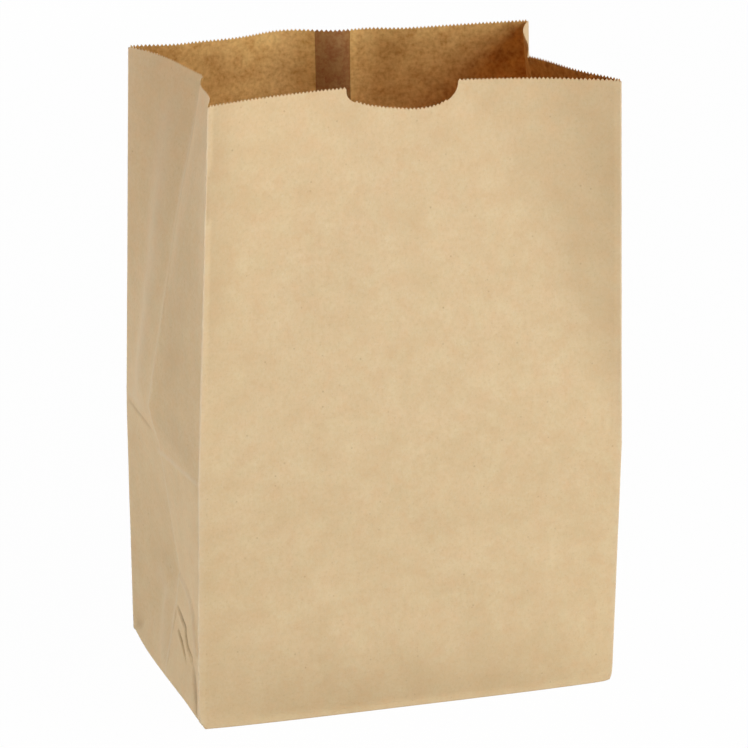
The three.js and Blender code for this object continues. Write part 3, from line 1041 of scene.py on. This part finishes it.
# Tones over the kraft brown: the noise, where it sets in and where it is full, its share there, the colour
TONES = (
    ("hue", 0.40, 0.62, 1.0, "warm"),
    ("cloud", 0.38, 0.70, 0.55, "deep"),
    ("mottle", 0.42, 0.72, 0.50, "deep"),
    ("fibre", 0.50, 0.80, 0.30, "worn_and_painted_light"),
    ("fleck", 0.58, 0.76, 0.12, "speck"),
)

# The span that most of a noise fills, and what runs over it from one value to another
NOISE_SPAN = (0.30, 0.70)
# Shares of the pale colour of rubbing and painted highlight
WORN_AND_HIGHLIGHT_SHARES = (0.35, 0.75)
ROUGHNESSES = (0.56, 0.68)
FINE_LIGHT = (0.15, -0.15)
COARSE_LIGHT = (0.26, 0.16)

# The span of the inner face's flocks, which are two noises added, and the power by which layers dim light
FLOCK_SPAN = (0.74, 1.26)
LAYER_DIMMING = 4.0

# Specks: cells per metre, the span of a heart's edge, the span of chance that has one, and its full share
SPECK_CELLS = 150.0
SPECK_EDGE = (0.045, 0.130)
SPECK_CHANCE = (0.55, 1.0)
SPECK_SHARE = 0.45

# Parts of the fibres and of the grain in the relief, and the relief's strength and height
FIBRE_RELIEF = 0.6
GRAIN_RELIEF = 0.4
RELIEF_STRENGTH = 0.18
RELIEF_HEIGHT = 0.0003


def opaque(colour):
    """A colour with full alpha, for a socket."""
    return (*colour, 1.0)


def kraft_noises(nodes, place):
    """The paper's noises by name at a place on the flat sheet, the fibres drawn out along the web."""
    stretch = nodes.add("ShaderNodeMapping")
    nodes.join(place, stretch.inputs["Vector"])
    stretch.inputs["Scale"].default_value = FIBRE_STRETCH
    drawn_out = {"fibre": stretch.outputs["Vector"]}
    return {name: nodes.noise(drawn_out.get(name, place), *noise) for name, noise in NOISES.items()}


def kraft_specks(nodes, place):
    """Sparse specks about a millimetre wide: the hearts of a few cells of a cell pattern."""
    cells = nodes.add("ShaderNodeTexVoronoi")
    nodes.join(place, cells.inputs["Vector"])
    cells.inputs["Scale"].default_value = SPECK_CELLS
    chosen = nodes.add("ShaderNodeSeparateColor")
    nodes.join(cells.outputs["Color"], chosen.inputs["Color"])
    heart = nodes.remap(cells.outputs["Distance"], *SPECK_EDGE, 1.0, 0.0)
    few = nodes.remap(chosen.outputs["Red"], *SPECK_CHANCE, 0.0, SPECK_SHARE)
    return nodes.math("MULTIPLY", heart, few)


def kraft_colour(nodes, look, place, noises):
    """The kraft brown with its tones and specks, paler by rubbing and painted highlight on folds and ridges,
    and darker by crushing and painted shade in wrinkle valleys and in bands of painted shade.
    """
    colour = opaque(look.kraft)
    for name, low, high, share, tone in TONES:
        cover = nodes.remap(noises[name], low, high, 0.0, share)
        colour = nodes.mix(cover, colour, opaque(getattr(look, tone)))
    colour = nodes.mix(kraft_specks(nodes, place), colour, opaque(look.speck))
    # Above 0 the mark is rubbing and painted highlight, below 0 crushing and painted shade
    wear = nodes.attribute("wear")
    grain_patches = nodes.remap(noises["grain"], *NOISE_SPAN, *WORN_AND_HIGHLIGHT_SHARES)
    worn_and_painted_light = nodes.math("MULTIPLY", nodes.remap(wear, 0.0, 1.0), grain_patches)
    colour = nodes.mix(worn_and_painted_light, colour, opaque(look.worn_and_painted_light))
    return nodes.mix(nodes.remap(wear, -1.0, 0.0, 1.0, 0.0), colour, opaque(look.crushed_and_painted_shade))


def inner_colour(nodes, look, noises, colour, inside, pasted):
    """The colour tinted by the inner face's flocks, and by the paste under the seam, whose tint also stands
    in as painted shade of the seam's two layers.
    """
    flock = nodes.math("ADD", noises["mottle"], noises["formation"])
    tint = nodes.mix(nodes.remap(flock, *FLOCK_SPAN), opaque(look.inner), opaque(look.inner_deep))
    colour = nodes.mix(inside, colour, tint, "MULTIPLY")
    return nodes.mix(pasted, colour, opaque(look.pasted), "MULTIPLY")


def kraft_relief(nodes, noises):
    """The normal of the paper's face, raised by its fibres and its grain."""
    fibre = nodes.math("MULTIPLY", noises["fibre"], FIBRE_RELIEF)
    grain = nodes.math("MULTIPLY", noises["grain"], GRAIN_RELIEF)
    bump = nodes.add("ShaderNodeBump")
    bump.inputs["Strength"].default_value = RELIEF_STRENGTH
    bump.inputs["Distance"].default_value = RELIEF_HEIGHT
    nodes.join(nodes.math("ADD", fibre, grain), bump.inputs["Height"])
    return bump.outputs["Normal"]


def light_through(nodes, noises, inside, layers):
    """Share of light that comes through: a coarse and a fine noise, dimmed inside by further layers."""
    fine = nodes.math("MULTIPLY", inside, nodes.remap(noises["mottle"], *NOISE_SPAN, *FINE_LIGHT))
    coarse = nodes.remap(noises["formation"], *NOISE_SPAN, *COARSE_LIGHT)
    dimming = nodes.math("POWER", layers, nodes.math("MULTIPLY", inside, LAYER_DIMMING))
    return nodes.math("DIVIDE", nodes.math("ADD", fine, coarse), dimming)


def kraft_material(look):
    """Kraft paper: mottled, fibrous and specked, with rubbed folds, painted highlight and shade, and light
    that comes through.
    """
    material = bpy.data.materials.new("kraft_paper")
    nodes = Nodes(material)
    place = nodes.add("ShaderNodeUVMap", uv_map="sheet").outputs["UV"]
    noises = kraft_noises(nodes, place)
    layers, inside = nodes.attribute("layers"), nodes.attribute("inside")
    # The seam's inner face, tinted by paste and painted shade
    pasted = nodes.math("MULTIPLY", inside, nodes.remap(layers, 1.0, SEAM_LAYERS))
    colour = kraft_colour(nodes, look, place, noises)
    colour = inner_colour(nodes, look, noises, colour, inside, pasted)
    face = nodes.add("ShaderNodeBsdfPrincipled")
    nodes.join(colour, face.inputs["Base Color"])
    nodes.join(nodes.remap(noises["mottle"], *NOISE_SPAN, *ROUGHNESSES), face.inputs["Roughness"])
    nodes.join(kraft_relief(nodes, noises), face.inputs["Normal"])
    through = nodes.add("ShaderNodeBsdfTranslucent")
    nodes.join(nodes.mix(pasted, opaque(look.glow), opaque(look.amber)), through.inputs["Color"])
    share = light_through(nodes, noises, inside, layers)
    nodes.blend(share, face.outputs["BSDF"], through.outputs["BSDF"])
    return material


def seen_directly(nodes):
    """1 for rays from the camera, and for those that a gloss or a clear piece sends on."""
    path = nodes.add("ShaderNodeLightPath")
    seen = nodes.math("MAXIMUM", path.outputs["Is Camera Ray"], path.outputs["Is Glossy Ray"])
    return nodes.math("MAXIMUM", seen, path.outputs["Is Transmission Ray"])


def floor_material(colour):
    """A pale floor that the camera sees nearly white, with the bag's shadow kept."""
    material = bpy.data.materials.new("pale_floor")
    nodes = Nodes(material)
    matte = nodes.add("ShaderNodeBsdfDiffuse")
    matte.inputs["Color"].default_value = opaque(colour)
    white = nodes.add("ShaderNodeEmission")
    white.inputs["Strength"].default_value = FLOOR_WHITE
    seen = nodes.math("MULTIPLY", seen_directly(nodes), FLOOR_WHITENESS)
    nodes.blend(seen, matte.outputs["BSDF"], white.outputs["Emission"])
    return material


def add_object(name, data):
    """A new object of the scene, at the origin."""
    added = bpy.data.objects.new(name, data)
    bpy.context.scene.collection.objects.link(added)
    return added


def make_floor(studio):
    """A wide disc on the ground, in rings about its middle."""
    turns = np.linspace(0.0, 2.0 * math.pi, FLOOR_SIDES, endpoint=False)
    radii = np.array(FLOOR_RADII)
    ring = np.stack((np.cos(turns), np.sin(turns), np.zeros_like(turns)), axis=1)
    points = np.concatenate([ring * radius for radius in radii]) - np.array((0.0, 0.0, FLOOR_DROP))
    numbers = np.arange(points.shape[0]).reshape(radii.size, turns.size)
    after = np.roll(numbers, -1, axis=1)
    quads = np.stack((numbers[:-1], numbers[1:], after[1:], after[:-1]), axis=2).reshape(-1, 4)
    mesh = bpy.data.meshes.new("floor")
    mesh.from_pydata(points.tolist(), [], [numbers[0].tolist()] + quads.tolist())
    mesh.materials.append(floor_material(studio.floor_colour))
    add_object("floor", mesh)


def make_world(studio):
    """Even light all round, white to the camera and to reflections."""
    world = bpy.data.worlds.new("studio")
    bpy.context.scene.world = world
    nodes = Nodes(world)
    lit, white = nodes.add("ShaderNodeBackground"), nodes.add("ShaderNodeBackground")
    for background, strength in ((lit, studio.sky), (white, 1.0)):
        background.inputs["Color"].default_value = (1.0, 1.0, 1.0, 1.0)
        background.inputs["Strength"].default_value = strength
    shaders = lit.outputs["Background"], white.outputs["Background"]
    nodes.blend(seen_directly(nodes), *shaders, output="ShaderNodeOutputWorld")


def outward(azimuth, elevation):
    """Unit vector out from the bag, at an azimuth from the front to the right and an elevation."""
    level = math.cos(elevation)
    return Vector((math.sin(azimuth) * level, -math.cos(azimuth) * level, math.sin(elevation)))


def make_lamp(name, level):
    """A wide soft box that faces the bag from its azimuth and elevation.

    Its power is its level by pi squared by distance squared, so at level 1 a matte face shows its own colour.
    """
    azimuth, elevation, distance, width, height = LAMPS[name]
    light = bpy.data.lights.new(name, "AREA")
    light.shape = "RECTANGLE"
    light.size, light.size_y = width, height
    light.energy = level * (math.pi * distance) ** 2
    out = outward(math.radians(azimuth), math.radians(elevation))
    lamp = add_object(name, light)
    lamp.location = Vector(LAMP_AIM) + out * distance
    lamp.rotation_euler = (-out).to_track_quat("-Z", "Y").to_euler()
    lamp.visible_camera = False


def make_camera(studio):
    """The photograph's view: on a line from the aim, turned about that line by the roll."""
    back = outward(studio.azimuth, studio.elevation)
    right = Vector((math.cos(studio.azimuth), math.sin(studio.azimuth), 0.0))
    up = back.cross(right)
    turned_right = right * math.cos(studio.roll) + up * math.sin(studio.roll)
    turned_up = up * math.cos(studio.roll) - right * math.sin(studio.roll)
    turn = Matrix((turned_right, turned_up, back)).transposed()
    place = Vector(studio.aim) + back * studio.distance
    camera = add_object("camera", bpy.data.cameras.new("camera"))
    camera.matrix_world = Matrix.Translation(place) @ turn.to_4x4()
    camera.data.sensor_width = SENSOR_WIDTH
    camera.data.lens = studio.lens
    camera.data.clip_end = CAMERA_REACH
    bpy.context.scene.camera = camera


class BAG_OT_fold_bag(bpy.types.Operator):
    """Fold the paper bag and give it its kraft paper"""

    bl_idname = "bag.fold_bag"
    bl_label = "Fold the bag"

    def execute(self, context):
        scene = context.scene
        bag, stance = scene.bag_sizes, scene.bag_stance
        sheet = SheetMesh()
        wall = Wall(bag, stance, sheet)
        add_base(bag, sheet, wall)
        piece = add_object("folded_bag", sheet_to_mesh("folded_bag", sheet, wall.girth))
        piece.data.materials.append(kraft_material(scene.kraft_look))
        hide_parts(NODE)
        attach(piece, "root")
        return {"FINISHED"}


class BAG_OT_set_stage(bpy.types.Operator):
    """Set the floor, the lamps and the camera"""

    bl_idname = "bag.set_stage"
    bl_label = "Set the stage"

    def execute(self, context):
        studio = context.scene.studio_sizes
        make_floor(studio)
        make_world(studio)
        for name in LAMPS:
            make_lamp(name, getattr(studio, name + "_level"))
        make_camera(studio)
        context.scene.view_settings.view_transform = "Standard"
        return {"FINISHED"}


class BAG_PT_panel(bpy.types.Panel):
    """The bag's sizes, stance and colours, and the steps that make it"""

    bl_label = "Paper Bag"
    bl_idname = "BAG_PT_panel"
    bl_space_type = "VIEW_3D"
    bl_region_type = "UI"
    bl_category = "Bag"

    def draw(self, context):
        for group in (context.scene.bag_sizes, context.scene.bag_stance,
                      context.scene.kraft_look, context.scene.studio_sizes):
            box = self.layout.box()
            for name in group.__annotations__:
                box.prop(group, name)
        self.layout.operator(BAG_OT_fold_bag.bl_idname)
        self.layout.operator(BAG_OT_set_stage.bl_idname)


GROUPS = {
    "bag_sizes": BagSizes,
    "bag_stance": BagStance,
    "kraft_look": KraftLook,
    "studio_sizes": StudioSizes,
}
CLASSES = (*GROUPS.values(), BAG_OT_fold_bag, BAG_OT_set_stage, BAG_PT_panel)


def register():
    """Registers the classes and hangs the property groups on the scene."""
    for cls in CLASSES:
        bpy.utils.register_class(cls)
    for name, group in GROUPS.items():
        setattr(bpy.types.Scene, name, PointerProperty(type=group))


def unregister():
    """Takes the property groups and the classes away again."""
    for name in GROUPS:
        delattr(bpy.types.Scene, name)
    for cls in reversed(CLASSES):
        bpy.utils.unregister_class(cls)


def main():
    """Makes the bag and its stage."""
    register()
    bpy.ops.bag.fold_bag()
    bpy.ops.bag.set_stage()


if __name__ == "__main__":
    main()
